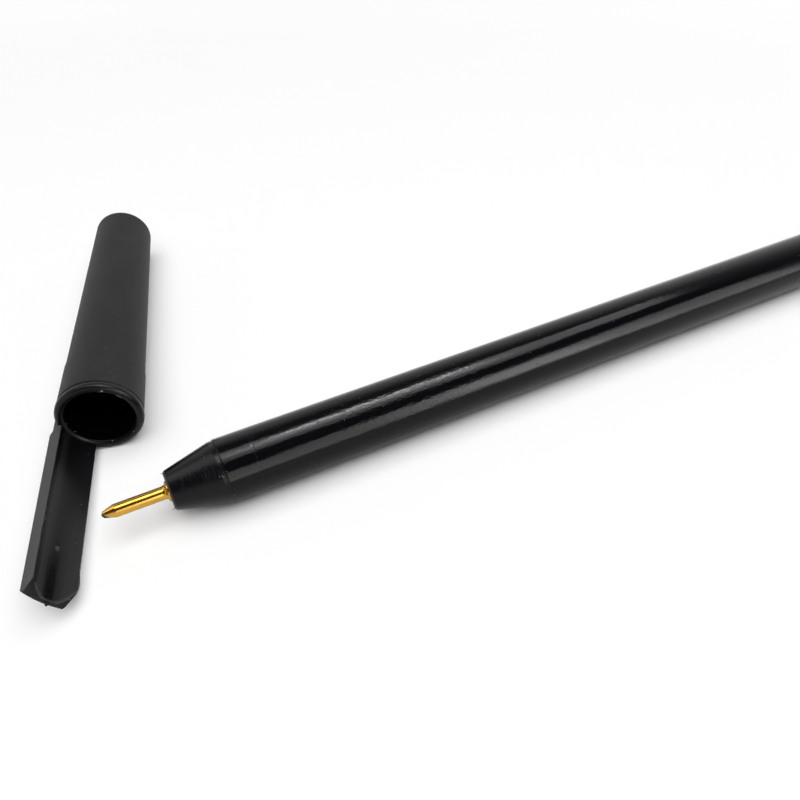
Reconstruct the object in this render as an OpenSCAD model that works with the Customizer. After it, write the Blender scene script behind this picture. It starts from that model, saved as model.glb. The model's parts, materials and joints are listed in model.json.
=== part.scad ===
// Capped stick pen with a ball point. The pen lies on a table along X, and its cap lies beside it.
// The origin is on the pen's axis at the barrel's front edge. The tip points to -X, and +Z is up.

/* [Barrel] */
// Outside diameter of the barrel
barrel_d = 8; // [6.8:0.1:11]
// Wall of the barrel
barrel_wall = 0.9; // [0.6:0.05:1.2]
// Length of the barrel tube
barrel_len = 116; // [80:1:160]
// Rounding of the barrel's two edges
barrel_edge = 0.12; // [0.05:0.01:0.2]
// Distance from the front edge to the faint ring left by pressing in the nose cone
mark_at = 3.9; // [1.5:0.1:8]
// Width of that ring
mark_w = 0.24; // [0.1:0.02:0.5]
// Depth of that ring
mark_depth = 0.03; // [0.01:0.01:0.06]

/* [Nose cone] */
// Length of the nose cone in front of the barrel
nose_len = 6.35; // [4:0.05:10]
// Diameter of the nose cone's small front face
nose_face_d = 4.75; // [3.6:0.05:5.6]
// How far the nose cone's base stands below the barrel's surface
nose_step = 0.12; // [0.02:0.01:0.3]
// Length of the band at the nose cone's base
nose_band = 0.5; // [0.2:0.05:1.5]
// Radius that the band loses towards the front, so that it leaves its mould
nose_draft = 0.02; // [0.01:0.005:0.05]
// Rounding of the small face's edge
nose_edge = 0.3; // [0.05:0.01:0.4]
// Length of the spigot that is pressed into the barrel
nose_spigot = 9; // [5:0.5:16]
// Depth of solid plastic between the barrel's edge plane and the end of the ink tube
tube_stop = 0.6; // [0.2:0.1:2]

/* [Brass point] */
// Diameter of the point's straight shaft
point_d = 1.6; // [1.3:0.05:2]
// Length from the nose cone's face to the front of the ball
point_len = 7.55; // [5:0.05:10]
// Length of the tapered end, with the ball
point_taper = 1.5; // [1.2:0.05:2.5]
// Diameter of the collar that rests on the nose cone's face
collar_d = 2.5; // [2.4:0.05:3.2]
// Thickness of the collar's rim
collar_rim = 0.15; // [0.1:0.01:0.3]
// Length of the flare from the shaft to the collar
collar_flare = 0.4; // [0.2:0.05:0.8]
// Diameter of the shank that is pressed into the nose cone
shank_d = 2.3; // [2.1:0.05:2.35]
// Length of the tail that holds the ink tube
tail_len = 4; // [2:0.1:8]
// Diameter of the ink channel in the shank
channel_d = 0.9; // [0.6:0.05:1]
// Diameter of the fine hole behind the ball
feed_d = 0.36; // [0.2:0.02:0.5]
// Length of the fine hole behind the ball's centre
feed_len = 1.5; // [1.2:0.1:2]

/* [Ball] */
// Diameter of the writing ball
ball_d = 0.7; // [0.5:0.02:1]
// How far the lip's edge closes in past the ball's widest circle, to hold it
lip_hold = 0.02; // [0.01:0.005:0.04]
// Wall of the lip, where the crimp that closes over the ball starts
lip_wall = 0.09; // [0.06:0.01:0.12]
// Length of the crimp
crimp_len = 0.18; // [0.12:0.01:0.25]
// Width of the lip's front edge
crimp_edge = 0.05; // [0.03:0.01:0.08]

/* [Ink] */
// Outside diameter of the ink tube
tube_d = 3.2; // [2.8:0.05:4]
// Bore of the ink tube
tube_bore_d = 2; // [1.6:0.05:2.4]
// Room between the ink tube and the rear plug
tube_room = 9; // [2:0.5:30]
// Length of the grease behind the ink
follower_len = 6; // [3:0.5:12]
// Length of empty tube behind the grease
tube_empty = 14; // [2:0.5:30]

/* [Rear plug] */
// Thickness of the plug's head
plug_head = 2; // [1:0.1:5]
// Rounding of the head's edge
plug_edge = 0.35; // [0.1:0.05:0.6]
// Length of the spigot that is pressed into the barrel
plug_spigot = 6; // [3:0.5:12]
// Diameter of the air vent
vent_d = 1.2; // [0.6:0.1:2]

/* [Cap] */
// Overall length of the cap without its clip
cap_len = 45.4; // [34:0.1:60]
// Depth of the straight socket that takes the barrel
socket_len = 12; // [9:0.5:16]
// Wall of the cap at the seam behind the collar
seam_wall = 0.85; // [0.5:0.05:1.2]
// Wall of the collar just behind the rim
collar_wall = 1.06; // [0.6:0.02:1.2]
// Wall across the rounded rim
rim_wall = 1.15; // [0.9:0.01:1.6]
// Length of the rim, from the mouth to the collar
rim_len = 1.5; // [1.4:0.1:3]
// Length of the collar, from the mouth to the seam
cap_collar = 8.3; // [5:0.1:11]
// Step at the seam
seam_step = 0.08; // [0.01:0.01:0.08]
// Radius that the cap loses from the seam to its closed end
cap_taper = 0.71; // [0.2:0.01:0.9]
// Wall of the cap beside its closed end
cap_wall = 0.95; // [0.6:0.05:1]
// Thickness of the closed end
end_wall = 1.2; // [0.8:0.1:2.5]
// Rounding of the closed end's edge
end_edge = 0.45; // [0.2:0.05:0.8]

/* [Clip] */
// Length of the clip past the cap's mouth
clip_len = 23.7; // [16:0.1:34]
// Room between the barrel and the clip when the cap is on
clip_room = 0.5; // [0.3:0.05:1.2]
// Half of the angle that the clip covers around the cap
clip_half = 34; // [24:0.5:36]
// Thickness of the clip at its two edges
clip_edge_wall = 1.25; // [1.1:0.05:1.6]
// Thickness of the clip along its middle
clip_mid_wall = 0.8; // [0.7:0.05:1.05]
// Thickness that the clip loses from its root to its end
clip_thin = 0.2; // [0:0.01:0.3]
// Length of the lead-in bevel inside the clip's end
lead_len = 1.75; // [0.8:0.05:3]
// Depth of the lead-in bevel
lead_depth = 0.75; // [0.5:0.01:1]
// Width of the corner that is cut off the clip's end
trim_w = 1.3; // [0.4:0.1:1.8]
// Length of the corner that is cut off the clip's end
trim_len = 2.9; // [1:0.1:4]
// Distance that the clip's root stands out of the mouth before the clip flexes
root_out = 0.3; // [0.2:0.05:0.8]
// Length of the root's slope along the cap's collar
root_in = 2.6; // [1.5:0.1:4]
// Distance from the mouth to the moulding pip on the clip
pip_at = 17.1; // [8:0.1:20]
// Diameter of the moulding pip
pip_d = 0.5; // [0.3:0.05:0.8]
// Height of the moulding pip
pip_high = 0.15; // [0.05:0.05:0.3]
// Diameter of the moulding gate's stub on the clip's end
gate_d = 0.4; // [0.2:0.05:0.5]
// Length of that stub
gate_len = 0.35; // [0.1:0.05:0.6]

/* [Fits] */
// Room around a pressed or glued piece
press_gap = 0.02; // [0.01:0.01:0.04]
// Room between the barrel and the cap's socket
cap_gap = 0.1; // [0.04:0.02:0.2]
// Room around the ball in its seat
ball_gap = 0.03; // [0.02:0.005:0.04]
// Room between the clip and its root
flex_gap = 0.04; // [0.02:0.01:0.1]

/* [Where the cap lies] */
// Place of the cap's mouth along the pen
cap_x = -11.05; // [-20:0.05:-8]
// Place of the cap's mouth to the side of the pen
cap_y = 13.95; // [12:0.05:30]
// Turn of the cap's axis from the pen's axis
cap_turn = 74.6; // [60:0.1:100]
// Roll of the clip from straight down
clip_roll = 54.5; // [40:0.5:70]

/* [Hidden] */
$fn = 96;
// Reach of a cutter past the face that it cuts
past = 1;

// Pen, with lengths along X
barrel_r = barrel_d / 2;
barrel_bore_r = barrel_r - barrel_wall;
spigot_r = barrel_bore_r - press_gap;
nose_base_r = barrel_r - nose_step;
nose_band_r = nose_base_r - nose_draft;
nose_face_r = nose_face_d / 2;
shank_r = shank_d / 2;
shank_hole_r = shank_r + press_gap;
tube_r = tube_d / 2;
tube_seat_r = tube_r + press_gap;
tube_bore_r = tube_bore_d / 2;
tail_r = tube_bore_r - press_gap;
tail_end = tube_stop + tail_len;
ball_r = ball_d / 2;
ball_x = ball_r - nose_len - point_len;
lip_r = ball_r - lip_hold;
lip_x = ball_x - sqrt((ball_r + ball_gap) ^ 2 - lip_r ^ 2);
taper_x = point_taper - nose_len - point_len;
feed_x = ball_x + feed_len;
plug_x = barrel_len - plug_spigot;
tube_end = plug_x - tube_room;
follower_end = tube_end - tube_empty;
follower_x = follower_end - follower_len;
ink_x = tail_end + press_gap;
ink_end = follower_x - press_gap;
ink_r = tube_bore_r - press_gap;

// Cap, with lengths along its own axis from the mouth to the closed end
socket_r = barrel_r + cap_gap;
rim_r = socket_r + rim_wall;
bead_r = rim_wall / 2;
collar_r = socket_r + collar_wall;
seam_r = socket_r + seam_wall;
end_r = seam_r - cap_taper;
core_r = end_r - cap_wall;
core_end = cap_len - end_wall;
// Slope between the socket and the core, as steep as the nose cone's side
nose_slope = (nose_band_r - nose_face_r) / (nose_len - nose_band);
core_start = socket_len + (socket_r - core_r) / nose_slope;
channel_r = barrel_r + clip_room;
clip_edge_r = channel_r + clip_edge_wall;
clip_mid_r = channel_r + clip_mid_wall;
// Corner of the clip's back, and the radius of the back's gentle curve through both corners
back_x = clip_edge_r * cos(clip_half);
back_y = clip_edge_r * sin(clip_half);
back_rise = clip_mid_r - back_x;
back_r = (back_y ^ 2 + back_rise ^ 2) / (2 * back_rise);
// Slope of the clip's back towards its end
clip_lean = atan(clip_thin / clip_len);
// Inner corner of the clip
inner_x = channel_r * cos(clip_half);

// The cap rests on its closed end's edge and on the lower of its rim and its clip's corner
cap_drop = max(rim_r, clip_edge_r * cos(clip_roll - clip_half));
cap_tilt = asin((cap_drop - end_r) / (cap_len - end_edge));
cap_z = cap_drop * cos(cap_tilt) - barrel_r;

// Part of a circle as profile points, from one angle to another
function arc(x, y, r, from, to, steps = 8) =
    [for (i = [0 : steps]) let (a = from + (to - from) * i / steps) [x + r * cos(a), y + r * sin(a)]];

// Turns a profile of [radius, place along the pen] about the pen's axis
module turned(points) {
    rotate([0, 90, 0]) rotate_extrude() polygon(points);
}

// A round rod along the pen's axis
module rod(radius, from, to) {
    translate([from, 0, 0]) rotate([0, 90, 0]) cylinder(r = radius, h = to - from);
}

// Lays a piece of the cap, which is drawn standing on its mouth, where the cap lies
module lay_cap() {
    translate([cap_x, cap_y, cap_z]) rotate([0, 90 + cap_tilt, cap_turn]) rotate([0, 0, clip_roll]) children();
}

// The clip's cross-section as a bar from one place along the cap to another
module clip_bar(from, to) {
    reach = clip_edge_r + past;
    difference() {
        intersection() {
            translate([0, 0, from]) linear_extrude(to - from)
                polygon([[0, 0], [reach, -reach * tan(clip_half)], [reach, reach * tan(clip_half)]]);
            rotate([0, clip_lean, 0]) translate([clip_mid_r - back_r, 0, from - past])
                cylinder(r = back_r, h = to - from + 2 * past);
        }
        translate([0, 0, from - past]) cylinder(r = channel_r, h = to - from + 2 * past);
    }
}

// A tube with rounded edges and the faint ring where the nose cone's base was pressed home
module barrel() {
    color([0.03, 0.03, 0.035]) turned(concat(
        [[barrel_bore_r, 0]],
        arc(barrel_r - barrel_edge, barrel_edge, barrel_edge, -90, 0),
        [[barrel_r, mark_at - mark_w / 2],
         [barrel_r - mark_depth, mark_at],
         [barrel_r, mark_at + mark_w / 2]],
        arc(barrel_r - barrel_edge, barrel_len - barrel_edge, barrel_edge, 0, 90),
        [[barrel_bore_r, barrel_len]]));
}

// The cone, its spigot in the barrel, and the stepped hole for the brass point and the ink tube
module nose_cone() {
    color([0.035, 0.035, 0.04]) turned(concat(
        [[shank_hole_r, -nose_len]],
        arc(nose_face_r - nose_edge, nose_edge - nose_len, nose_edge, -90, 0),
        [[nose_band_r, -nose_band],
         [nose_base_r, 0],
         [spigot_r, 0],
         [spigot_r, nose_spigot],
         [tube_seat_r, nose_spigot],
         [tube_seat_r, tube_stop],
         [shank_hole_r, tube_stop]]));
}

// The turned brass point, with its collar, shank and tail, and the ink's way to the ball's seat
module point_body() {
    color([0.83, 0.62, 0.22]) difference() {
        turned([[0, lip_x],
                [lip_r + crimp_edge, lip_x],
                [ball_r + lip_wall, lip_x + crimp_len],
                [point_d / 2, taper_x],
                [point_d / 2, -nose_len - collar_rim - collar_flare],
                [collar_d / 2, -nose_len - collar_rim],
                [collar_d / 2, -nose_len],
                [shank_r, -nose_len],
                [shank_r, tube_stop],
                [tail_r, tube_stop],
                [tail_r, tail_end],
                [0, tail_end]]);
        translate([ball_x, 0, 0]) sphere(r = ball_r + ball_gap);
        rod(feed_d / 2, ball_x, feed_x);
        rod(channel_d / 2, feed_x, tail_end + past);
    }
}

// The ball, free to roll in its seat
module writing_ball() {
    color([0.12, 0.12, 0.13]) translate([ball_x, 0, 0]) sphere(r = ball_r);
}

// The tube that holds the ink
module ink_tube() {
    color([0.85, 0.86, 0.84]) difference() {
        rod(tube_r, tube_stop, tube_end);
        rod(tube_bore_r, tube_stop - past, tube_end + past);
    }
}

// The ink, from the brass tail to the grease
module ink_column() {
    color([0.02, 0.02, 0.03]) rod(ink_r, ink_x, ink_end);
}

// The grease that follows the ink
module ink_follower() {
    color([0.8, 0.76, 0.6]) rod(ink_r, follower_x, follower_end);
}

// The plug in the barrel's back end, with its air vent
module rear_plug() {
    color([0.03, 0.03, 0.035]) turned(concat(
        [[vent_d / 2, plug_x],
         [spigot_r, plug_x],
         [spigot_r, barrel_len],
         [barrel_r, barrel_len]],
        arc(barrel_r - plug_edge, barrel_len + plug_head - plug_edge, plug_edge, 0, 90),
        [[vent_d / 2, barrel_len + plug_head]]));
}

// The cap: a full-round rim, a collar, a tapered body with a closed end, and the root of the clip
module cap_shell() {
    color([0.06, 0.06, 0.065]) lay_cap() {
        rotate_extrude() polygon(concat(
            arc(socket_r + bead_r, bead_r, bead_r, -180, 0, 16),
            arc(collar_r, rim_len - rim_r + collar_r, rim_r - collar_r, 0, 90),
            [[seam_r + seam_step, cap_collar],
             [seam_r, cap_collar]],
            arc(end_r - end_edge, cap_len - end_edge, end_edge, 0, 90),
            [[0, cap_len],
             [0, core_end],
             [core_r, core_end],
             [core_r, core_start],
             [socket_r, socket_len]]));
        intersection() {
            clip_bar(-root_out, root_in);
            translate([0, 0, -root_out])
                cylinder(r1 = clip_edge_r + collar_wall, r2 = collar_r, h = root_out + root_in);
        }
    }
}

// The clip, with its lead-in bevel, its cut corner, the pip in its channel and the gate's stub on its end
module cap_clip() {
    slope = lead_len / lead_depth;
    color([0.06, 0.06, 0.065]) lay_cap() {
        difference() {
            clip_bar(-clip_len, -root_out - flex_gap);
            rotate([90, 0, 0]) linear_extrude(2 * clip_edge_r, center = true)
                polygon([[inner_x - past, lead_len + past * slope - clip_len],
                         [inner_x + lead_depth + past, -clip_len - past * slope],
                         [inner_x - past, -clip_len - past * slope]]);
            rotate([90, 0, 90]) linear_extrude(clip_edge_r + past)
                polygon([[trim_w - back_y, -clip_len],
                         [-back_y, trim_len - clip_len],
                         [-back_y - past, trim_len - clip_len],
                         [-back_y - past, -clip_len - past],
                         [trim_w - back_y, -clip_len - past]]);
        }
        translate([channel_r - pip_high, 0, -pip_at]) rotate([0, 90, 0])
            cylinder(d = pip_d, h = pip_high + clip_mid_wall / 2);
        translate([channel_r + (clip_mid_wall - clip_thin) / 2, 0, -clip_len - gate_len])
            cylinder(d = gate_d, h = gate_len + past);
    }
}

barrel();
nose_cone();
point_body();
writing_ball();
ink_tube();
ink_column();
ink_follower();
rear_plug();
cap_shell();
cap_clip();
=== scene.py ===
# Looks of a capped stick pen that lies beside its cap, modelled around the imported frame.
import json
import math
import bmesh
import bpy
from mathutils import Matrix, Vector


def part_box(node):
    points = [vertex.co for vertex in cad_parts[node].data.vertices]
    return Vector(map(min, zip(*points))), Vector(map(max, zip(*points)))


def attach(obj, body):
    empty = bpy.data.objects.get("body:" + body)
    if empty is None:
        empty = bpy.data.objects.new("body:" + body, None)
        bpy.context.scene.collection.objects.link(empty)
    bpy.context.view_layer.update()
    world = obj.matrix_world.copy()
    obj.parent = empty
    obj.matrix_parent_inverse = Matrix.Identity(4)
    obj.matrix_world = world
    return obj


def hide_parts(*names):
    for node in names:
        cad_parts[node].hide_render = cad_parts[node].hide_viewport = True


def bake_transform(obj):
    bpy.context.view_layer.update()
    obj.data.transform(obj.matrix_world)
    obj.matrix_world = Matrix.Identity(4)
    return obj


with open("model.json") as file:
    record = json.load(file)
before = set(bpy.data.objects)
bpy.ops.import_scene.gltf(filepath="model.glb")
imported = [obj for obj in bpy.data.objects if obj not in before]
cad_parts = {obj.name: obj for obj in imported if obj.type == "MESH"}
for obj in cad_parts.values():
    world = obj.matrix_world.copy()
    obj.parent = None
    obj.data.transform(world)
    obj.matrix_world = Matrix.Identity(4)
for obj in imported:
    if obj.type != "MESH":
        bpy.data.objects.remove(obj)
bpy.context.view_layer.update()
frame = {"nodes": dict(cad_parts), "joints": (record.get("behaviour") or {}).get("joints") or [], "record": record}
mm = 0.001                                            # sizes below are in millimetres
sameSpot = 0.0005                                     # corners closer than this are merged
onRing = 0.002                                        # a corner this close to a station lies on it
mounts = {mount["name"]: mount for mount in frame["record"]["mounts"]}
joints = {joint["name"]: joint for joint in frame["joints"]}


def spanOf(node):                                     # a node's lowest and highest corner, in millimetres
    low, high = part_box(node)
    return low / mm, high / mm


# Where the pen and the cap lie. A turned piece is drawn standing on its axis and then laid there.
penPlace = Matrix.Rotation(math.radians(90), 4, "Y")  # its height runs along the pen, from the point to the plug
rimBead = 0.575                                       # half of the rounded rim, in front of the socket's wall
socket = mounts["cap_socket"]
capUp = -Vector(socket["axis"]).normalized()          # from the mouth to the closed end
capSide = -Vector(joints["clip_flex"]["axis"]).normalized()
capMouth = Vector(socket["pos_m"]) - capUp * (rimBead + socket["dims"]["length_mm"] / 2) * mm
capPlace = Matrix((capSide.cross(capUp), capSide, capUp)).transposed().to_4x4()
capPlace.translation = capMouth
print("frame read, cap mouth at", [round(x / mm, 2) for x in capMouth])


# Modelling by hand, in code
def clearDesk():
    if bpy.context.mode != "OBJECT":
        bpy.ops.object.mode_set(mode="OBJECT")
    bpy.ops.object.select_all(action="DESELECT")


def turn(name, stations, sides, hold, filled=False):  # one ring pulled from station to station, (height, radius)
    held = stations[:1]
    for (low, inner), (high, outer) in zip(stations, stations[1:]):
        long = math.hypot(high - low, outer - inner)
        if long > 3 * hold:                           # rings near both ends keep a long wall's shading straight
            held += [(low + (high - low) * part, inner + (outer - inner) * part)
                     for part in (hold / long, 1 - hold / long)]
        held.append((high, outer))
    clearDesk()
    height, radius = held[0]
    bpy.ops.mesh.primitive_circle_add(vertices=sides, radius=radius * mm, enter_editmode=True,
                                      fill_type="TRIFAN" if filled else "NOTHING")
    piece = bpy.context.object
    piece.name = piece.data.name = name
    bpy.ops.mesh.select_mode(type="VERT")
    bpy.ops.mesh.select_all(action="SELECT")
    bpy.ops.transform.translate(value=(0, 0, height * mm))
    for nextHeight, nextRadius in held[1:]:
        grow = nextRadius / radius
        bpy.ops.mesh.extrude_region_move(TRANSFORM_OT_translate={"value": (0, 0, (nextHeight - height) * mm)})
        bpy.ops.transform.resize(value=(grow, grow, 1), center_override=(0, 0, nextHeight * mm))
        height, radius = nextHeight, nextRadius
    if filled:                                        # closes the last ring too
        bpy.ops.mesh.extrude_region_move()
        bpy.ops.mesh.merge(type="CENTER")
    bpy.ops.mesh.select_all(action="SELECT")
    bpy.ops.mesh.remove_doubles(threshold=sameSpot * mm)  # a tube's last ring lands on its first
    bpy.ops.mesh.normals_make_consistent(inside=False)
    return piece


def pick(kind, wanted):                               # selects what has all its corners where wanted(x, y, z) says
    bpy.ops.mesh.select_mode(type=kind)
    bpy.ops.mesh.select_all(action="DESELECT")
    mesh = bmesh.from_edit_mesh(bpy.context.object.data)
    for part in {"VERT": mesh.verts, "EDGE": mesh.edges, "FACE": mesh.faces}[kind]:
        corners = [part] if kind == "VERT" else part.verts
        part.select_set(all(wanted(*(corner.co / mm)) for corner in corners))
    bmesh.update_edit_mesh(bpy.context.object.data)


def roundRing(height, radius, width, steps):          # bevels the ring of edges at a station
    pick("EDGE", lambda x, y, z: abs(z - height) < onRing and abs(math.hypot(x, y) - radius) < onRing)
    bpy.ops.mesh.bevel(offset=width * mm, segments=steps, profile=0.5, affect="EDGES")


def layDown(piece, place, sharp=32):                  # merges, turns faces out, lays the piece in the frame
    bpy.ops.mesh.select_mode(type="VERT")
    bpy.ops.mesh.select_all(action="SELECT")
    bpy.ops.mesh.remove_doubles(threshold=sameSpot * mm)
    bpy.ops.mesh.normals_make_consistent(inside=False)
    clearDesk()
    piece.select_set(True)
    bpy.context.view_layer.objects.active = piece
    piece.matrix_world = place
    bpy.ops.object.transform_apply(location=True, rotation=True, scale=True)
    bpy.ops.object.shade_smooth_by_angle(angle=math.radians(sharp))
    return piece


def standsFor(piece, node, body, finish):
    piece.data.materials.append(finish)
    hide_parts(node)
    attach(piece, body)


# Shader sums
class Wire:                                           # a shader socket that can stand in a Python expression
    def __init__(self, tree, socket=None):
        self.tree, self.socket = tree, socket

    def node(self, kind, settings=None, sockets=None, out=0):
        made = self.tree.nodes.new(kind)
        for name, value in (settings or {}).items():
            setattr(made, name, value)
        for name, value in (sockets or {}).items():
            if isinstance(value, Wire):
                self.tree.links.new(value.socket, made.inputs[name])
            else:
                made.inputs[name].default_value = value
        return Wire(self.tree, made.outputs[out] if made.outputs else None)

    def other(self, out):                             # another output of the same node
        return Wire(self.tree, self.socket.node.outputs[out])

    def math(self, operation, first, second):
        return self.node("ShaderNodeMath", {"operation": operation}, {0: first, 1: second})

    def __add__(self, other):
        return self.math("ADD", self, other)

    def __sub__(self, other):
        return self.math("SUBTRACT", self, other)

    def __rsub__(self, other):
        return self.math("SUBTRACT", other, self)

    def __mul__(self, other):
        return self.math("MULTIPLY", self, other)

    def __lt__(self, other):
        return self.math("LESS_THAN", self, other)

    def __abs__(self):
        return self.math("ABSOLUTE", self, 0.0)

    __radd__, __rmul__ = __add__, __mul__

    def ramp(self, start, end):                       # 0 before start, 1 after end, smooth between
        return self.node("ShaderNodeMapRange", {"interpolation_type": "SMOOTHSTEP"},
                         {"Value": self, "From Min": start, "From Max": end})

    def tint(self, mask, under, over):                # a colour that goes from under to over with the mask
        return self.node("ShaderNodeMix", {"data_type": "RGBA"}, {0: mask, 6: under, 7: over}, out=2)

    def stretched(self, scales):                      # a place, with its sides drawn out or pressed together
        return self.node("ShaderNodeVectorMath", {"operation": "MULTIPLY"}, {0: self, 1: scales})

    def noise(self, scales, detail=2.0, distortion=0.0):
        return self.node("ShaderNodeTexNoise", {}, {"Vector": self.stretched(scales), "Scale": 1.0, "Detail": detail,
                                                    "Distortion": distortion})

    def cells(self, scales):                          # how far the place is from the middle of its cell
        return self.node("ShaderNodeTexVoronoi", {"feature": "F1"}, {"Vector": self.stretched(scales), "Scale": 1.0})

    def specks(self, scales, size, share):            # scattered spots, or scratches where the scales differ
        reach = self.cells(scales)
        chance = self.node("ShaderNodeSeparateColor", {}, {0: reach.other("Color")})
        return (1 - reach.ramp(size * 0.5, size)) * (chance < share)

    def sides(self):                                  # the place's three numbers
        split = self.node("ShaderNodeSeparateXYZ", {}, {0: self})
        return [split.other(name) for name in "XYZ"]

    def fromAxis(self):                               # how far the place is from the piece's own axis
        return self.node("ShaderNodeVectorMath", {"operation": "LENGTH"}, {0: self.stretched((1, 1, 0))}, out="Value")

    def fromPoint(self, home):                        # how far the place is from a point
        return self.node("ShaderNodeVectorMath", {"operation": "DISTANCE"}, {0: self, 1: home}, out="Value")


def startFinish(name, place):                         # a material, and the place on the piece in millimetres
    finish = bpy.data.materials.new(name)
    finish.use_nodes = True
    finish.node_tree.nodes.clear()
    root = Wire(finish.node_tree)
    spot = root.node("ShaderNodeTexCoord", out="Object")
    spot = root.node("ShaderNodeMapping", {"vector_type": "TEXTURE"}, {
        "Vector": spot, "Location": place.translation, "Rotation": place.to_euler(), "Scale": (mm,) * 3})
    return finish, root, spot


def closeFinish(root, height, sockets):               # height is the surface's relief in millimetres
    relief = root.node("ShaderNodeBump", {}, {"Strength": 1.0, "Distance": mm, "Height": height})
    shader = root.node("ShaderNodeBsdfPrincipled", {}, {"Normal": relief, **sockets})
    root.node("ShaderNodeOutputMaterial", {}, {"Surface": shader})


def grey(level, blue=1.0):
    return (level, level, level * blue, 1.0)


# Barrel and rear plug: glossy black tube, drawn lengthwise
barrelLow, barrelHigh = spanOf("barrel")
barrel = dict(front=barrelLow.x, back=barrelHigh.x, outR=barrelHigh.z, wall=0.9, edge=0.12, edgeSteps=4, hold=0.2,
              sides=192,
              markAt=3.9, markHalf=0.05, markDeep=0.008,   # faint ring left by pressing in the nose cone
              nick=0.012, nickReach=1.2, nickSeed=4)       # unevenness of the cut front edge
plugLow, plugHigh = spanOf("rear_plug")
plug = dict(inner=plugLow.x, back=plugHigh.x, spigotR=3.08, ventR=0.6, edge=0.35, edgeSteps=6, ventEdge=0.12,
            ventSteps=4, hold=0.45, sides=128)


def glossBlack(name):
    look = dict(black=grey(0.0024, 1.5), worn=grey(0.006, 1.3), mark=grey(0.012), dust=grey(0.24), rough=0.10,
                ior=1.47, gloss=0.18, heldFrom=(9.0, 18.0), heldTo=(28.0, 42.0))
    finish, root, spot = startFinish(name, penPlace)
    along = spot.sides()[2]
    streaks = spot.noise((8.0, 8.0, 0.03), detail=4.0)                # drawn lines, along the pen
    waves = spot.noise((1.5, 1.5, 0.3), detail=1.5, distortion=0.4)   # slow unevenness that breaks up the shine
    ragged = spot.noise((2.6, 2.6, 1.2), detail=1.0, distortion=0.6)
    pebbles = spot.cells((3.8, 3.8, 2.0))
    handled = along.ramp(*look["heldFrom"]) * (1 - along.ramp(*look["heldTo"]))   # pebbled where it is held
    ring = (1 - abs(along - barrel["markAt"]).ramp(0.03, 0.07)) * streaks.ramp(0.35, 0.6)
    dust = spot.specks((1.7, 1.7, 1.7), 0.09, 0.20)
    pits = spot.specks((1.3, 1.3, 0.9), 0.11, 0.20)
    scratches = spot.specks((5.0, 5.0, 0.4), 0.10, 0.04)
    marks = dust + scratches * 0.3
    height = streaks * 0.004 + waves * 0.008 + ragged * 0.008 + pebbles * (0.0015 + handled * 0.010)
    height = height + dust * 0.012 - pits * 0.03
    plain = root.tint(streaks.ramp(0.45, 0.8), look["black"], look["worn"])
    closeFinish(root, height, {
        "Base Color": root.tint(marks, root.tint(ring, plain, look["mark"]), look["dust"]),
        "Roughness": look["rough"] + streaks.ramp(0.4, 0.9) * 0.10 + waves.ramp(0.5, 0.9) * 0.05 + marks * 0.3,
        "IOR": look["ior"], "Specular IOR Level": look["gloss"]})
    return finish


def makeBarrel():
    b = barrel
    bore = b["outR"] - b["wall"]
    tube = turn("barrelTube", [
        (b["front"], bore), (b["front"], b["outR"]),
        (b["markAt"] - b["markHalf"], b["outR"]), (b["markAt"], b["outR"] - b["markDeep"]),
        (b["markAt"] + b["markHalf"], b["outR"]),
        (b["back"], b["outR"]), (b["back"], bore), (b["front"], bore)], b["sides"], b["hold"])
    roundRing(b["front"], b["outR"], b["edge"], b["edgeSteps"])
    roundRing(b["back"], b["outR"], b["edge"], b["edgeSteps"])
    reach = b["edge"] * b["nickReach"]
    pick("VERT", lambda x, y, z: z < reach and math.hypot(x, y) > b["outR"] - reach)
    bpy.ops.transform.vertex_random(offset=b["nick"] * mm, seed=b["nickSeed"])
    layDown(tube, penPlace)
    standsFor(tube, "barrel", "pen", glossBlack("barrelGloss"))
    print("barrel turned,", len(tube.data.polygons), "faces")


def makePlug():
    p, outR = plug, barrel["outR"]
    piece = turn("rearPlug", [
        (p["inner"], p["ventR"]), (p["inner"], p["spigotR"]), (barrel["back"], p["spigotR"]), (barrel["back"], outR),
        (p["back"], outR), (p["back"], p["ventR"]), (p["inner"], p["ventR"])], p["sides"], p["hold"])
    roundRing(p["back"], outR, p["edge"], p["edgeSteps"])
    roundRing(p["back"], p["ventR"], p["ventEdge"], p["ventSteps"])
    layDown(piece, penPlace)
    standsFor(piece, "rear_plug", "pen", glossBlack("plugGloss"))
    print("rear plug turned,", len(piece.data.polygons), "faces")


# Nose cone: black moulding with a dished face, scuffs and two burrs on its rim
noseLow, noseHigh = spanOf("nose_cone")
nose = dict(face=noseLow.x, spigotEnd=noseHigh.x, faceR=2.375, baseR=noseHigh.z, band=0.5, draft=0.02, spigotR=3.08,
            holeR=1.17, seatR=1.62, tubeStop=0.6, rimEdge=0.36, rimSteps=7, bandEdge=0.12, bandSteps=3, landR=1.32,
            rimR=2.0, dish=0.1, hold=0.5, sides=128, burrR=2.15, burrLean=0.12,
            burrs=[((0.75, -0.62), 0.55), ((-0.8, 0.6), 0.3)])  # way from the axis, reach in front of the face


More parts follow.
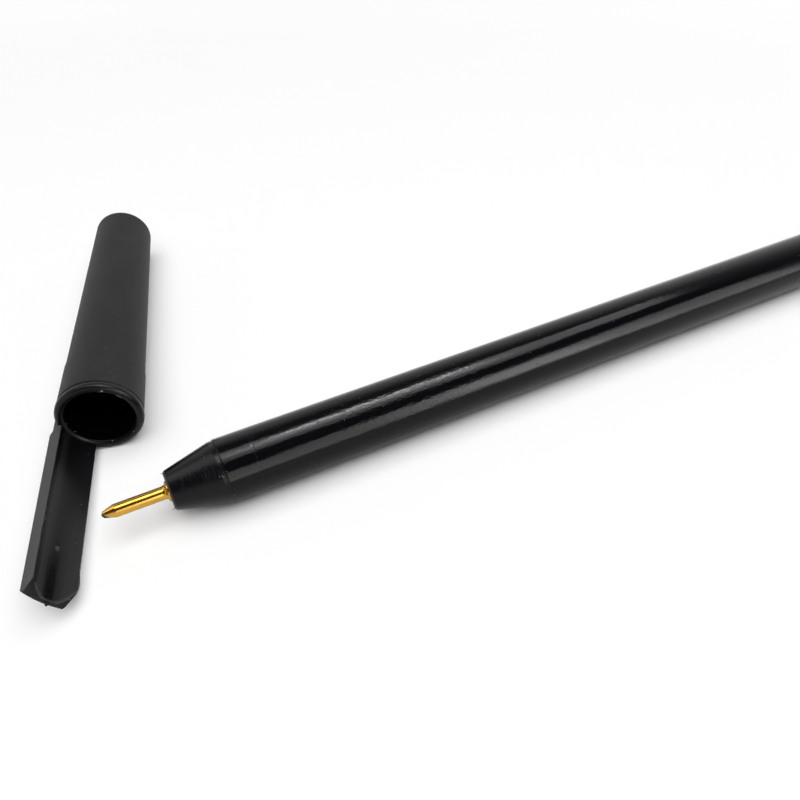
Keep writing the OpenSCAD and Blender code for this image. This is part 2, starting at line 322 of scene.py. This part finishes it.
def scuffedBlack(name):
    look = dict(black=grey(0.0026, 1.45), worn=grey(0.015, 1.04), rim=grey(0.085, 1.0), dust=grey(0.34), rough=0.22,
                ior=1.47, gloss=0.2, baseFrom=(-2.4, -0.8))
    finish, root, spot = startFinish(name, penPlace)
    down, _, height = spot.sides()
    patches = spot.noise((0.9, 0.9, 0.5), detail=3.0, distortion=0.6)
    grain = spot.noise((3.5, 3.5, 6.0), detail=4.0)
    rings = spot.noise((0.6, 0.6, 9.0), detail=3.0)                   # fine rub marks around the cone
    up = (down * -1).ramp(0.4, 2.4)                                   # the upper side, where scuffs and nicks gather as a painted highlight
    # scuffs are wear, and their weight on the upper side paints the light from above
    scuffs = patches.ramp(0.46, 0.7) * rings.ramp(0.48, 0.74) * (0.1 + up * 0.9)
    rim = 1 - height.ramp(nose["face"] + 0.08, nose["face"] + 0.30)   # painted highlight on the small rim, which is also rougher
    chips = spot.specks((2.2, 2.2, 2.2), 0.42, 0.35) * rim            # dents in that rim, where the painted highlight is left out
    base = height.ramp(*look["baseFrom"])                             # nicked where the cone meets the barrel
    dust = spot.specks((1.7, 1.7, 1.7), 0.09, 0.2)
    nicks = spot.specks((1.9, 1.9, 5.0), 0.19, 0.34) * (0.05 + up * 0.95) * base
    worn = root.tint(rim * (0.5 + grain * 0.6) * (1 - chips), root.tint(scuffs * 0.7, look["black"], look["worn"]),
                     look["rim"])
    relief = grain * 0.002 + patches * 0.005 + scuffs * 0.0015 + dust * 0.012 - nicks * 0.01 - chips * 0.04
    closeFinish(root, relief, {
        "Base Color": root.tint(dust + nicks * 0.8, worn, look["dust"]),
        "Roughness": look["rough"] + scuffs * 0.2 + rim * 0.2 + grain * 0.08 + dust * 0.2,
        "IOR": look["ior"], "Specular IOR Level": look["gloss"]})
    return finish


def makeNose():
    n = nose
    cone = turn("noseCone", [
        (n["face"], n["holeR"]), (n["face"], n["landR"]),
        (n["face"] + n["dish"], n["landR"] + n["dish"]), (n["face"] + n["dish"], n["rimR"] - n["dish"]),
        (n["face"], n["rimR"]), (n["face"], n["faceR"]),
        (-n["band"], n["baseR"] - n["draft"]), (0, n["baseR"]), (0, n["spigotR"]),
        (n["spigotEnd"], n["spigotR"]), (n["spigotEnd"], n["seatR"]), (n["tubeStop"], n["seatR"]),
        (n["tubeStop"], n["holeR"]), (n["face"], n["holeR"])], n["sides"], n["hold"])
    roundRing(n["face"], n["faceR"], n["rimEdge"], n["rimSteps"])
    roundRing(-n["band"], n["baseR"] - n["draft"], n["bandEdge"], n["bandSteps"])
    for (down, side), reach in n["burrs"]:            # one face of the rim is drawn out to a point
        way = Vector((down, side, 0)).normalized()
        mesh = bmesh.from_edit_mesh(bpy.context.object.data)
        home = Vector((way.x * n["burrR"], way.y * n["burrR"], n["face"])) * mm
        nearest = min(mesh.faces, key=lambda face: (face.calc_center_median() - home).length)
        bpy.ops.mesh.select_mode(type="FACE")
        bpy.ops.mesh.select_all(action="DESELECT")
        nearest.select_set(True)
        bmesh.update_edit_mesh(bpy.context.object.data)
        bpy.ops.mesh.extrude_region_move(
            TRANSFORM_OT_translate={"value": way * n["burrLean"] * mm + Vector((0, 0, -reach * mm))})
        bpy.ops.mesh.merge(type="CENTER")
    layDown(cone, penPlace)
    standsFor(cone, "nose_cone", "pen", scuffedBlack("noseScuffed"))
    print("nose cone turned,", len(cone.data.polygons), "faces")


# Brass point and the ball in its lip
pointLow, pointHigh = spanOf("point_body")
ballLow, ballHigh = spanOf("writing_ball")
point = dict(lip=pointLow.x, tailEnd=pointHigh.x, tailLong=4.0, collarR=pointHigh.z, shaftR=0.8, taper=1.5,
             shaftEdge=0.05, shaftSteps=2, lipR=0.33, lipWall=0.05, crimp=0.18, crimpR=0.44, collarRim=0.15,
             rimEdge=0.05, rimSteps=3, shankR=1.15, tailR=0.98, channelR=0.45, feedR=0.18, feedLength=1.5,
             seatGap=0.03, seatSide=(0.5, 0.866),          # a station on the seat's ball, in parts of its radius
             flare=0.4, flareSteps=((1.0, 0.0), (0.5, 0.07), (0.22, 0.2)),   # part of its length left, and its spread
             hold=0.12, sides=96)
ball = dict(middle=(ballLow.x + ballHigh.x) / 2, radius=ballHigh.z, cuts=11)


def turnedBrass(name):
    look = dict(gold=(0.58, 0.335, 0.058, 1), deep=(0.37, 0.18, 0.021, 1), ink=(0.004, 0.004, 0.007, 1), rough=0.17,
                gloss=0.3)
    finish, root, spot = startFinish(name, penPlace)
    x, y, height = spot.sides()
    turning = spot.noise((0.5, 0.5, 9.0), detail=3.0)                 # tool marks round the shaft
    tarnish = spot.noise((1.5, 1.5, 0.5), detail=3.0, distortion=0.8)
    wipe = spot.noise((4.0, 4.0, 2.2), detail=2.0)
    low = x * 0.9 - y * 0.6                                           # the ink gathers low on one side of the tip
    smear = 1 - (height + wipe * 0.4 - low).ramp(point["lip"] + 0.26, point["lip"] + 0.44)
    closeFinish(root, turning * 0.00005 + tarnish * 0.0004, {
        "Base Color": root.tint(smear, root.tint(tarnish.ramp(0.5, 0.85), look["gold"], look["deep"]), look["ink"]),
        "Metallic": 1 - smear,
        "Roughness": look["rough"] + turning * 0.06 + tarnish.ramp(0.5, 0.9) * 0.10 + smear * 0.1,
        "Specular IOR Level": look["gloss"]})
    return finish


def inkedSteel(name):
    look = dict(steel=(0.50, 0.44, 0.34, 1), ink=(0.004, 0.004, 0.007, 1), rough=0.14, gloss=0.25)
    finish, root, spot = startFinish(name, penPlace)
    down = spot.sides()[0]
    film = spot.noise((2.6, 2.6, 2.6), detail=3.0, distortion=0.5)
    film = (film + down * 1.4).ramp(0.22, 0.45)                       # wet below
    closeFinish(root, film * 0.004, {
        "Base Color": root.tint(film, look["steel"], look["ink"]),
        "Metallic": 1 - film,
        "Roughness": look["rough"] + film * 0.1,
        "Specular IOR Level": look["gloss"]})
    return finish


def makePoint():
    p, middle = point, ball["middle"]
    seatR = ball["radius"] + p["seatGap"]
    shaftStart = ball["middle"] - ball["radius"] + p["taper"]
    collar = nose["face"]
    flareEnd = collar - p["collarRim"]
    feedEnd = middle + p["feedLength"]
    feedMouth = (middle + math.sqrt(seatR ** 2 - p["feedR"] ** 2), p["feedR"])
    piece = turn("brassPoint", [
        feedMouth, (middle + seatR * p["seatSide"][0], seatR * p["seatSide"][1]), (middle, seatR),
        (p["lip"], p["lipR"]), (p["lip"], p["lipR"] + p["lipWall"]), (p["lip"] + p["crimp"], p["crimpR"]),
        (shaftStart, p["shaftR"]),
        *[(flareEnd - p["flare"] * part, p["shaftR"] + spread) for part, spread in p["flareSteps"]],
        (flareEnd, p["collarR"]), (collar, p["collarR"]), (collar, p["shankR"]),
        (p["tailEnd"] - p["tailLong"], p["shankR"]), (p["tailEnd"] - p["tailLong"], p["tailR"]),
        (p["tailEnd"], p["tailR"]), (p["tailEnd"], p["channelR"]), (feedEnd, p["channelR"]), (feedEnd, p["feedR"]),
        feedMouth], p["sides"], p["hold"])
    roundRing(shaftStart, p["shaftR"], p["shaftEdge"], p["shaftSteps"])
    roundRing(flareEnd, p["collarR"], p["rimEdge"], p["rimSteps"])
    layDown(piece, penPlace)
    standsFor(piece, "point_body", "pen", turnedBrass("brassTurned"))
    print("brass point turned,", len(piece.data.polygons), "faces")


def makeBall():
    clearDesk()
    bpy.ops.mesh.primitive_cube_add(size=2 * ball["radius"] * mm, enter_editmode=True)
    piece = bpy.context.object
    piece.name = piece.data.name = "inkedBall"
    bpy.ops.mesh.subdivide(number_cuts=ball["cuts"])
    bpy.ops.object.mode_set(mode="OBJECT")
    cast = piece.modifiers.new("round", "CAST")       # a cut cube cast to a ball has no poles
    cast.factor, cast.use_radius_as_size, cast.size = 1.0, False, ball["radius"] * mm
    bpy.ops.object.modifier_apply(modifier=cast.name)
    bpy.ops.object.mode_set(mode="EDIT")
    bpy.ops.mesh.select_all(action="SELECT")
    bpy.ops.transform.translate(value=(0, 0, ball["middle"] * mm))
    layDown(piece, penPlace, sharp=60)
    standsFor(piece, "writing_ball", "ball", inkedSteel("ballInked"))
    print("ball made,", len(piece.data.polygons), "faces")


# Cap shell: rounded rim, groove, collar, faint seam and a tapered body closed at its far end
shell = dict(length=45.4, socketR=4.1, socketDeep=12.0, rimR=5.25, rimEnd=1.1, rimRound=0.96, rimSteps=8,
             rimTuck=((0.12, 0.08), (0.3, 0.0)),           # how far before the groove, and how much below the rim
             collarR=5.16, grooveDeep=0.12, grooveWide=0.18, grooveSlope=1.5, seamAt=8.3, seamR=5.03, bodyR=4.95,
             endR=4.24, endEdge=0.45, endSteps=6, coreR=3.29, coreStart=15.3, endWall=1.2, hold=0.62, sides=192,
             uneven=0.025, unevenSeed=9, unevenBand=(0.2, 0.3), unevenFrom=4.7,   # around the groove, outside only
             chips=((144, 4.6, 0.02, 0.16), (141, 4.4, 0.07, 0.12),   # painted glints: angle from the clip, radius, height, size
                    (167, 4.42, 0.06, 0.1), (170, 4.4, 0.07, 0.12), (174, 4.38, 0.08, 0.1)))


def capBlack(name):
    look = dict(black=grey(0.008, 1.12), worn=grey(0.019, 1.05), lip=grey(0.003, 1.2), bore=grey(0.0012),
                glint=grey(0.5), dust=grey(0.18), rough=0.52, ior=1.45, gloss=0.22,
                wallR=4.2, wallStep=0.7, wallAt=(12.5, 14.5))   # a little outside the bore
    finish, root, spot = startFinish(name, capPlace)
    height = spot.sides()[2]
    out = spot.fromAxis()
    length, rimEnd, seamAt = shell["length"], shell["rimEnd"], shell["seamAt"]
    grain = spot.noise((5.0, 5.0, 5.0), detail=5.0)                   # fine mould texture
    cloud = spot.noise((0.35, 0.35, 0.18), detail=3.0, distortion=0.5)
    rubbed = spot.noise((2.4, 2.4, 0.5), detail=4.0).ramp(0.52, 0.76) * cloud.ramp(0.42, 0.66)
    wall = look["wallR"] - height.ramp(*look["wallAt"]) * look["wallStep"]
    bore = 1 - (out - wall).ramp(-0.12, 0.10)                         # inside, polished by the core, and painted darker as shade in the bore
    lip = 1 - height.ramp(0.5, 0.95)                                  # the rounded rim, glossier than the body
    lip = lip + height.ramp(length - 0.42, length - 0.2)              # and the closed end's rounded edge, glossier too, its darker colour a painted line of shade
    # painted shade: a dark line in the groove behind the rim, broken by the cloud
    groove = height.ramp(rimEnd - 0.14, rimEnd - 0.02) * (1 - height.ramp(rimEnd + 0.12, rimEnd + 0.26))
    groove = groove * cloud.ramp(0.3, 0.46)
    seam = height.ramp(seamAt - 0.16, seamAt - 0.04) * (1 - height.ramp(seamAt, seamAt + 0.1))
    dust = spot.specks((1.5, 1.5, 1.5), 0.085, 0.22)
    mouthEdge = 1 - (out + height).ramp(4.62, 4.85)
    glints = spot.specks((2.0, 2.0, 2.6), 0.20, 0.24) * mouthEdge     # painted glints: pale spots on the mouth's edge, also dented a little
    for angle, far, deep, size in shell["chips"]:                     # and painted glints placed high on that edge
        home = (far * math.cos(math.radians(angle)), far * math.sin(math.radians(angle)), deep)
        glints = glints + (1 - spot.fromPoint(home).ramp(size * 0.4, size))
    tone = rubbed * 0.6 + cloud.ramp(0.3, 0.8) * 0.35 + seam * (0.3 + grain * 0.6)
    moulded = root.tint(lip, root.tint(tone, look["black"], look["worn"]), look["lip"])
    # painted shade: the bore and the groove take the darkest black
    moulded = root.tint(root.math("MAXIMUM", bore, groove), moulded, look["bore"])
    closeFinish(root, (grain * 0.008 + cloud * 0.006) * (1 - bore * 0.7) + dust * 0.012 - glints * 0.03, {
        "Base Color": root.tint(glints, root.tint(dust, moulded, look["dust"]), look["glint"]),
        "Roughness": look["rough"] + grain * 0.1 - root.math("MAXIMUM", bore * 0.38, lip * 0.26) + rubbed * 0.06,
        "IOR": look["ior"], "Specular IOR Level": look["gloss"]})
    return finish


def makeCap():
    s = shell
    rimEnd, grooveR = s["rimEnd"], s["collarR"] - s["grooveDeep"]
    body = turn("capShell", [
        (s["length"], s["endR"]), (s["seamAt"], s["bodyR"]), (s["seamAt"], s["seamR"]),
        (rimEnd + s["grooveWide"] * s["grooveSlope"], s["collarR"]), (rimEnd + s["grooveWide"], grooveR),
        (rimEnd, grooveR), *[(rimEnd - back, s["rimR"] - low) for back, low in s["rimTuck"]],
        (0, s["rimR"]), (0, s["socketR"]), (s["socketDeep"], s["socketR"]), (s["coreStart"], s["coreR"]),
        (s["length"] - s["endWall"], s["coreR"])], s["sides"], s["hold"], filled=True)
    roundRing(s["length"], s["endR"], s["endEdge"], s["endSteps"])
    pick("FACE", lambda x, y, z: z > s["length"] - onRing)            # the closed end stays flat in its round edge
    bpy.ops.mesh.inset(thickness=s["endEdge"] * mm)
    for radius in (s["rimR"], s["socketR"]):
        roundRing(0, radius, rimBead * s["rimRound"], s["rimSteps"])
    before, after = s["unevenBand"]
    pick("VERT", lambda x, y, z: rimEnd - before < z < rimEnd + after and math.hypot(x, y) > s["unevenFrom"])
    bpy.ops.transform.vertex_random(offset=s["uneven"] * mm, seed=s["unevenSeed"])
    layDown(body, capPlace)
    standsFor(body, "cap_shell", "cap", capBlack("capSatin"))
    print("cap shell turned,", len(body.data.polygons), "faces")


# Clip: a channelled bar from inside the cap's rim to its bevelled end
clip = dict(channelR=4.5, half=34.0, edgeWall=1.25, midWall=0.8, thin=0.2, length=23.7, rootIn=2.6, rootLow=0.02,
            arcSteps=18, step=0.62, leadLong=1.75, leadDeep=0.75, trimWide=1.3, trimLong=2.9,
            soft=0.05, softSteps=2, softAngle=28,
            nick=0.045, nickSeed=2, nickBelow=-1.0, nickEdge=0.99,    # uneven edges of the channel
            dig=0.15, digBelow=-0.6, digSpan=(0.84, 0.94),            # the channel's wall is steep by one edge
            bulge=0.16, bulgeAt=20.6, bulgeLong=0.9, bulgeEdge=0.97,  # flash on the trimmed edge
            gusset=((1.3, 0.75), (0.5, 0.7), (-0.3, 0.5), (-0.92, 0.25)),   # height, and how far a corner is drawn in
            corner=0.3, pipAt=17.1, pipR=0.25, pipHigh=0.15, pipSunk=0.3, gateR=0.2, gateLong=0.35, gateSunk=0.5,
            pegSides=20, pegEnd=((0.7, 1.0), (0.2, 0.86), (0.1, 0.6)),   # part of a peg's height, and how it narrows
            bendFrom=0.2, bendTo=-3.5)                                # where it gives when it is flexed


def clipBlack(name):
    look = dict(black=grey(0.0035, 1.25), hazeAndSheen=grey(0.021, 1.06), edge=grey(0.066, 1.0), ridge=grey(0.05),
                dust=grey(0.20), pip=(0.064, 0.056, 0.046, 1), rough=0.46, ior=1.45, gloss=0.16,
                glossyStreakBelow=(-18.8, -17.2), hazeAndSheenBelow=(-15.0, -8.0),
                pipMark=(1, 0, 0.36), comma=(1.7, 0.75, 0.45))        # how narrow, how far above the pip, size
    finish, root, spot = startFinish(name, capPlace)
    x, y, height = spot.sides()
    around = root.math("ARCTAN2", y, x)                               # in radians from the clip's middle
    out = spot.fromAxis()
    channelR, half = clip["channelR"], clip["half"]
    hollow = 1 - out.ramp(channelR + 0.03, channelR + 0.12)           # the polished hollow side
    flow = spot.noise((1.6, 1.6, 0.06), detail=3.0, distortion=0.3)   # flow lines of the moulding
    grain = spot.noise((6.0, 6.0, 3.0), detail=4.0)
    # painted light: the clip's flat edge faces are made lighter than the rest
    edges = abs(around).ramp(math.radians(half - 1.2), math.radians(half - 0.3))
    lowHazeAndSheen = (1 - around.ramp(-0.4, 0.18)) * (1 - height.ramp(*look["hazeAndSheenBelow"]))   # duller, with a painted sheen, on one side of the end
    # painted sheen: a paler band down the channel, a little duller too
    sideHazeAndSheen = around.ramp(0.10, 0.24) * (1 - around.ramp(0.34, 0.46))
    # painted reflection: a dark streak down the end where the painted sheen is left out, glossier too
    glossyStreak = around.ramp(-0.16, -0.02) * (1 - around.ramp(0.14, 0.26)) * (1 - height.ramp(*look["glossyStreakBelow"]))
    hazeAndSheen = (lowHazeAndSheen * 0.8 + sideHazeAndSheen * 0.5) * (0.55 + flow * 0.7) * (1 - glossyStreak)
    leadAt = (x - channelR * math.cos(math.radians(half))) * clip["leadLong"] + (
        height + clip["length"] - clip["leadLong"]) * clip["leadDeep"]
    ridge = (1 - abs(leadAt).ramp(0.08, 0.22)) * (1 - abs(out - channelR).ramp(0.05, 0.12))   # painted highlight along the edge of its slope
    pip, comma = [
        (1 - spot.stretched((0, narrow, 1)).fromPoint((0, 0, above - clip["pipAt"])).ramp(size * 0.6, size)) * hollow
        for narrow, above, size in (look["pipMark"], look["comma"])]
    dust = spot.specks((1.5, 1.5, 1.5), 0.09, 0.24)
    # painted sheen in the hollow, where the mask pales the black
    tone = root.tint(hazeAndSheen * hollow, look["black"], look["hazeAndSheen"])
    # painted light on the flat edge faces
    tone = root.tint(edges * (1 - hollow), tone, look["edge"])
    tone = root.tint(ridge * (0.4 + grain * 0.6), tone, look["ridge"])
    # the comma above the pip: a small glossy dent, kept black as a painted shadow
    tone = root.tint(pip, root.tint(comma, tone, look["black"]), look["pip"])
    polish = hollow * 0.18 - hazeAndSheen * hollow * 0.12 + glossyStreak * hollow * 0.08 + comma * 0.2
    closeFinish(root, grain * 0.005 * (1 - hollow * 0.7) + flow * 0.006 + dust * 0.012 - comma * 0.05, {
        "Base Color": root.tint(dust, tone, look["dust"]),
        "Roughness": look["rough"] - polish + grain * 0.06,
        "IOR": look["ior"], "Specular IOR Level": look["gloss"]})
    return finish


def arcOf(x, y, height, middleX, turnBy):             # one corner swung round to make an arc of edges
    bpy.ops.mesh.select_all(action="DESELECT")
    bpy.ops.mesh.primitive_plane_add(size=mm)
    bpy.ops.mesh.merge(type="CENTER")
    bpy.ops.transform.translate(value=(x * mm, y * mm, height * mm))
    bpy.ops.mesh.spin(steps=clip["arcSteps"], angle=turnBy, center=(middleX * mm, 0, height * mm), axis=(0, 0, 1),
                      use_auto_merge=False)


def addPeg(radius, height, base, way):                # a small round peg with a rounded end, in the same mesh
    bpy.ops.mesh.select_mode(type="VERT")
    bpy.ops.mesh.select_all(action="DESELECT")
    bpy.ops.mesh.primitive_circle_add(vertices=clip["pegSides"], radius=radius * mm, fill_type="NGON",
                                      location=base * mm, rotation=way.to_track_quat("Z", "Y").to_euler())
    for rise, shrink in clip["pegEnd"]:
        base = base + way * height * rise
        bpy.ops.mesh.extrude_region_move(TRANSFORM_OT_translate={"value": way * height * rise * mm})
        bpy.ops.transform.resize(value=(shrink,) * 3, center_override=base * mm)


def makeClip():
    c = clip
    slack = 0.01
    half = math.radians(c["half"])
    edgeR, midR = c["channelR"] + c["edgeWall"], c["channelR"] + c["midWall"]
    innerX, innerY = c["channelR"] * math.cos(half), c["channelR"] * math.sin(half)
    backX, backY = edgeR * math.cos(half), edgeR * math.sin(half)
    rise = midR - backX
    backR = (backY ** 2 + rise ** 2) / (2 * rise)     # gentle curve of the back through both corners

    def onBack(x, y):
        return abs(math.hypot(x - midR + backR, y) - backR) < slack

    def inChannel(x, y):
        return math.hypot(x, y) < c["channelR"] + slack

    def across(x, y):                                 # -1 at one edge of the clip, 1 at the other
        return math.atan2(y, x) / half

    def edgeward(reach):                              # a move straight out towards one edge
        return (reach * math.cos(half) * mm, reach * math.sin(half) * mm, 0)

    clearDesk()
    bpy.ops.mesh.primitive_plane_add(size=mm, enter_editmode=True)
    piece = bpy.context.object
    piece.name = piece.data.name = "capClip"
    bpy.ops.mesh.select_mode(type="VERT")
    bpy.ops.mesh.select_all(action="SELECT")
    bpy.ops.mesh.delete(type="VERT")
    arcOf(innerX, innerY, c["rootIn"], 0, 2 * half)
    arcOf(backX, backY, c["rootIn"], midR - backR, 2 * math.asin(backY / backR))
    bpy.ops.mesh.select_all(action="SELECT")
    bpy.ops.mesh.bridge_edge_loops()
    bpy.ops.mesh.select_all(action="SELECT")
    heights = [height for height, drawn in c["gusset"][:-1]]          # then even steps, down to the end
    straightFrom = len(heights)
    while heights[-1] - c["step"] > -c["length"]:
        heights.append(heights[-1] - c["step"])
    heights.append(-c["length"])
    last = c["rootIn"]
    for height in heights:
        bpy.ops.mesh.extrude_region_move(TRANSFORM_OT_translate={"value": (0, 0, (height - last) * mm)})
        last = height
    for height in heights[straightFrom:]:             # the back leans in towards the end
        pick("VERT", lambda x, y, z: abs(z - height) < slack and onBack(x, y))
        bpy.ops.transform.translate(value=(c["thin"] * height / c["length"] * mm, 0, 0))
    pick("VERT", lambda x, y, z: z > c["rootIn"] - slack and onBack(x, y))
    sink = (shell["collarR"] - c["rootLow"]) / edgeR  # the root runs out on the collar
    bpy.ops.transform.resize(value=(sink, sink, 1), center_override=(0, 0, c["rootIn"] * mm))
    pick("VERT", lambda x, y, z: z < c["nickBelow"] and inChannel(x, y) and abs(across(x, y)) > c["nickEdge"])
    bpy.ops.transform.vertex_random(offset=c["nick"] * mm, seed=c["nickSeed"])
    digStart, digEnd = c["digSpan"]
    pick("VERT", lambda x, y, z: z < c["digBelow"] and inChannel(x, y) and digStart < across(x, y) < digEnd)
    bpy.ops.transform.translate(value=edgeward(c["dig"]))
    for height, drawn in c["gusset"]:                 # one back corner runs in to the rim
        pick("VERT", lambda x, y, z: abs(z - height) < slack and y > backY - c["corner"]
             and math.hypot(x, y) > edgeR - c["corner"])
        bpy.ops.transform.translate(value=edgeward(-drawn))
    pick("VERT", lambda x, y, z: abs(z + c["bulgeAt"]) < c["bulgeLong"] and across(x, y) < -c["bulgeEdge"])
    bpy.ops.transform.translate(value=(0, -c["bulge"] * mm, 0))
    for place, way in (                               # the end's slope, and the corner cut off it
            ((innerX, 0, c["leadLong"] - c["length"]), (c["leadLong"], 0, c["leadDeep"])),
            ((0, -backY, c["trimLong"] - c["length"]), (0, c["trimLong"], c["trimWide"]))):
        bpy.ops.mesh.select_all(action="SELECT")
        bpy.ops.mesh.bisect(plane_co=[side * mm for side in place], plane_no=Vector(way).normalized(),
                            use_fill=True, clear_inner=True, threshold=1e-8)
    bpy.ops.object.mode_set(mode="OBJECT")
    soften = piece.modifiers.new("soften", "BEVEL")
    soften.width, soften.segments = c["soft"] * mm, c["softSteps"]
    soften.limit_method, soften.angle_limit = "ANGLE", math.radians(c["softAngle"])
    bpy.ops.object.modifier_apply(modifier=soften.name)
    bpy.ops.object.mode_set(mode="EDIT")
    addPeg(c["pipR"], c["pipHigh"] + c["pipSunk"], Vector((c["channelR"] + c["pipSunk"], 0, -c["pipAt"])),
           Vector((-1, 0, 0)))
    gateX = midR - (c["midWall"] + c["thin"]) / 2
    addPeg(c["gateR"], c["gateLong"] + c["gateSunk"], Vector((gateX, 0, c["gateSunk"] - c["length"])),
           Vector((0, 0, -1)))
    layDown(piece, capPlace)
    piece.data.materials.append(clipBlack("clipSatin"))
    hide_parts("cap_clip")
    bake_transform(piece)
    print("clip made,", len(piece.data.polygons), "faces")


# Inside pieces: the frame's own shapes with finishes of their own
inside = {
    "ink_tube": dict(name="tubeMilky", grain=(0.8, 0.8, 0.1), detail=3.0, swirl=0.0, relief=0.004,
                     under=(0.70, 0.71, 0.68, 1), over=(0.84, 0.85, 0.83, 1), rough=0.3, spread=0.15),
    "ink_column": dict(name="inkWet", grain=(1.2, 1.2, 0.2), detail=4.0, swirl=1.0, relief=0.01,
                       under=(0.008, 0.008, 0.012, 1), over=(0.02, 0.02, 0.035, 1), rough=0.12, spread=0.2),
    "ink_follower": dict(name="greasePale", grain=(0.9, 0.9, 0.4), detail=3.0, swirl=0.6, relief=0.02,
                         under=(0.62, 0.55, 0.34, 1), over=(0.80, 0.76, 0.58, 1), rough=0.18, spread=0.2)}


def dressInside():
    for node, look in inside.items():
        finish, root, spot = startFinish(look["name"], penPlace)
        cloud = spot.noise(look["grain"], detail=look["detail"], distortion=look["swirl"])
        closeFinish(root, cloud * look["relief"], {"Base Color": root.tint(cloud, look["under"], look["over"]),
                                                   "Roughness": look["rough"] + cloud * look["spread"]})
        mesh = frame["nodes"][node].data
        mesh.materials.clear()
        mesh.materials.append(finish)
    print("inside pieces dressed")


# Table, light and camera
studio = dict(table=-4.0, tableWide=8, tableColour=grey(0.95),
              near=0.11, far=0.26,                         # how far from the pen the table turns white, in metres
              lift=0.25, touch=5.0, touchRays=12, touchRamp=(0.15, 0.6),   # how pale the shadows are
              sweep=1.0, dim=0.04, hazeTop=0.42, dark=0.85,                # glow of the room
              frontToBack=(-0.5, 0.2), frontShare=0.06, backShare=0.3, frontLow=0.25)
panels = [                                            # name, place and aim in metres, sizes, brightness, what it does
    ("softTop", (0.0, -0.13, 0.8), (0.0, -0.13, 0.0), (1.06, 1.06), 2.8, "shade"),
    ("topStrip", (0.26, 0.06, 0.6), (0.26, 0.06, 0.0), (0.64, 0.30), 4.2, "shine"),
    ("topEdge", (0.21, -0.075, 0.6), (0.21, -0.075, 0.0), (0.40, 0.19), 2.9, "shine"),
    ("topMiddle", (0.20, 0.035, 0.595), (0.20, 0.035, 0.0), (0.30, 0.11), 5.5, "shine"),
    ("topCore", (0.205, 0.11, 0.59), (0.205, 0.11, 0.0), (0.21, 0.055), 24.0, "shine"),
    ("frontPanel", (0.40, -0.75, 0.34), (0.08, 0.0, 0.0), (0.96, 0.54), 3.2, "shine"),
    ("frontWide", (0.474, -0.719, 0.34), (0.154, 0.031, 0.0), (0.42, 0.42), 2.0, "shine"),
    ("frontCore", (0.467, -0.704, 0.333), (0.147, 0.046, 0.0), (0.20, 0.36), 4.0, "shine"),
    ("topLeft", (-0.24, 0.2, 0.62), (-0.06, 0.02, 0.0), (0.34, 0.6), 2.2, "shine")]
photographer = dict(place=(-6.42, -58.30, 65.75), pitch=45.46, heading=-27.31, lens=32.42, sensor=36,
                    sees=(0.001, 50))                 # nearest and farthest, in metres


def straightRays(root):                               # 1 where the camera looks straight
    return root.node("ShaderNodeLightPath", out="Is Camera Ray")


def seenRays(root):                                   # 1 where it looks straight, or by a mirror or glass
    straight = straightRays(root)
    return straight + straight.other("Is Glossy Ray") + straight.other("Is Transmission Ray")


def setTable():
    clearDesk()
    bpy.ops.mesh.primitive_plane_add(size=studio["tableWide"], location=(0, 0, studio["table"] * mm))
    table = bpy.context.object
    table.name = "table"
    finish, root, spot = startFinish("tablePaper", Matrix.Identity(4))
    paper = root.node("ShaderNodeBsdfDiffuse", {}, {"Color": studio["tableColour"]})
    white = root.node("ShaderNodeEmission", {}, {"Color": grey(1.0)})
    away = spot.fromAxis().ramp(studio["near"] / mm, studio["far"] / mm)
    free = root.node("ShaderNodeAmbientOcclusion", {"samples": studio["touchRays"]},
                     {"Distance": studio["touch"] * mm}, out="AO")
    lift = free.ramp(*studio["touchRamp"]) * studio["lift"]   # shadows are lifted, but not where a piece touches
    lift = lift * straightRays(root)                  # and not in the barrel's gloss
    share = seenRays(root) * (lift + away * (1 - lift))   # white far from the pen
    root.node("ShaderNodeOutputMaterial", {}, {
        "Surface": root.node("ShaderNodeMixShader", {}, {0: share, 1: paper, 2: white})})
    table.data.materials.append(finish)
    print("table set")


def setLights():
    for name, place, aim, (wide, high), bright, work in panels:
        bpy.ops.object.light_add(type="AREA", location=place)
        panel = bpy.context.object
        panel.name = name
        panel.rotation_euler = (Vector(aim) - Vector(place)).to_track_quat("-Z", "Y").to_euler()
        panel.data.shape, panel.data.size, panel.data.size_y = "RECTANGLE", wide, high
        panel.data.energy = bright * math.pi * wide * high
        panel.visible_diffuse = work == "shade"       # one soft box makes the light and the shadows
        panel.visible_glossy = work == "shine"        # the cards are only mirrored in the gloss
    world = bpy.data.worlds.new("studioWorld")
    bpy.context.scene.world = world
    world.use_nodes = True
    world.node_tree.nodes.clear()
    root = Wire(world.node_tree)
    _, deep, height = root.node("ShaderNodeTexCoord", out="Generated").sides()
    back = deep.ramp(*studio["frontToBack"])
    lights = studio["frontShare"] + back * (studio["backShare"] - studio["frontShare"])
    level = height + (1 - back) * studio["frontLow"]  # the glow is lower in front
    glow = (1 - level.ramp(studio["hazeTop"], studio["dark"])) * root.math("MAXIMUM", lights, seenRays(root))
    glow = root.math("MAXIMUM", glow, straightRays(root))   # plain white backdrop
    glow = root.tint(glow, grey(studio["dim"]), grey(studio["sweep"]))
    root.node("ShaderNodeOutputWorld", {}, {"Surface": root.node("ShaderNodeBackground", {}, {"Color": glow})})
    print("studio lit by", len(panels), "panels")


def setCamera():
    p = photographer
    bpy.ops.object.camera_add(location=Vector(p["place"]) * mm,
                              rotation=(math.radians(p["pitch"]), 0, math.radians(p["heading"])))
    camera = bpy.context.object
    camera.data.lens, camera.data.sensor_width = p["lens"], p["sensor"]
    camera.data.clip_start, camera.data.clip_end = p["sees"]
    bpy.context.scene.camera = camera
    bpy.context.scene.view_settings.view_transform = "Standard"
    print("camera set")


makeBarrel()
makePlug()
makeNose()
makePoint()
makeBall()
makeCap()
makeClip()
dressInside()
setTable()
setLights()
setCamera()
print("pieces ready")
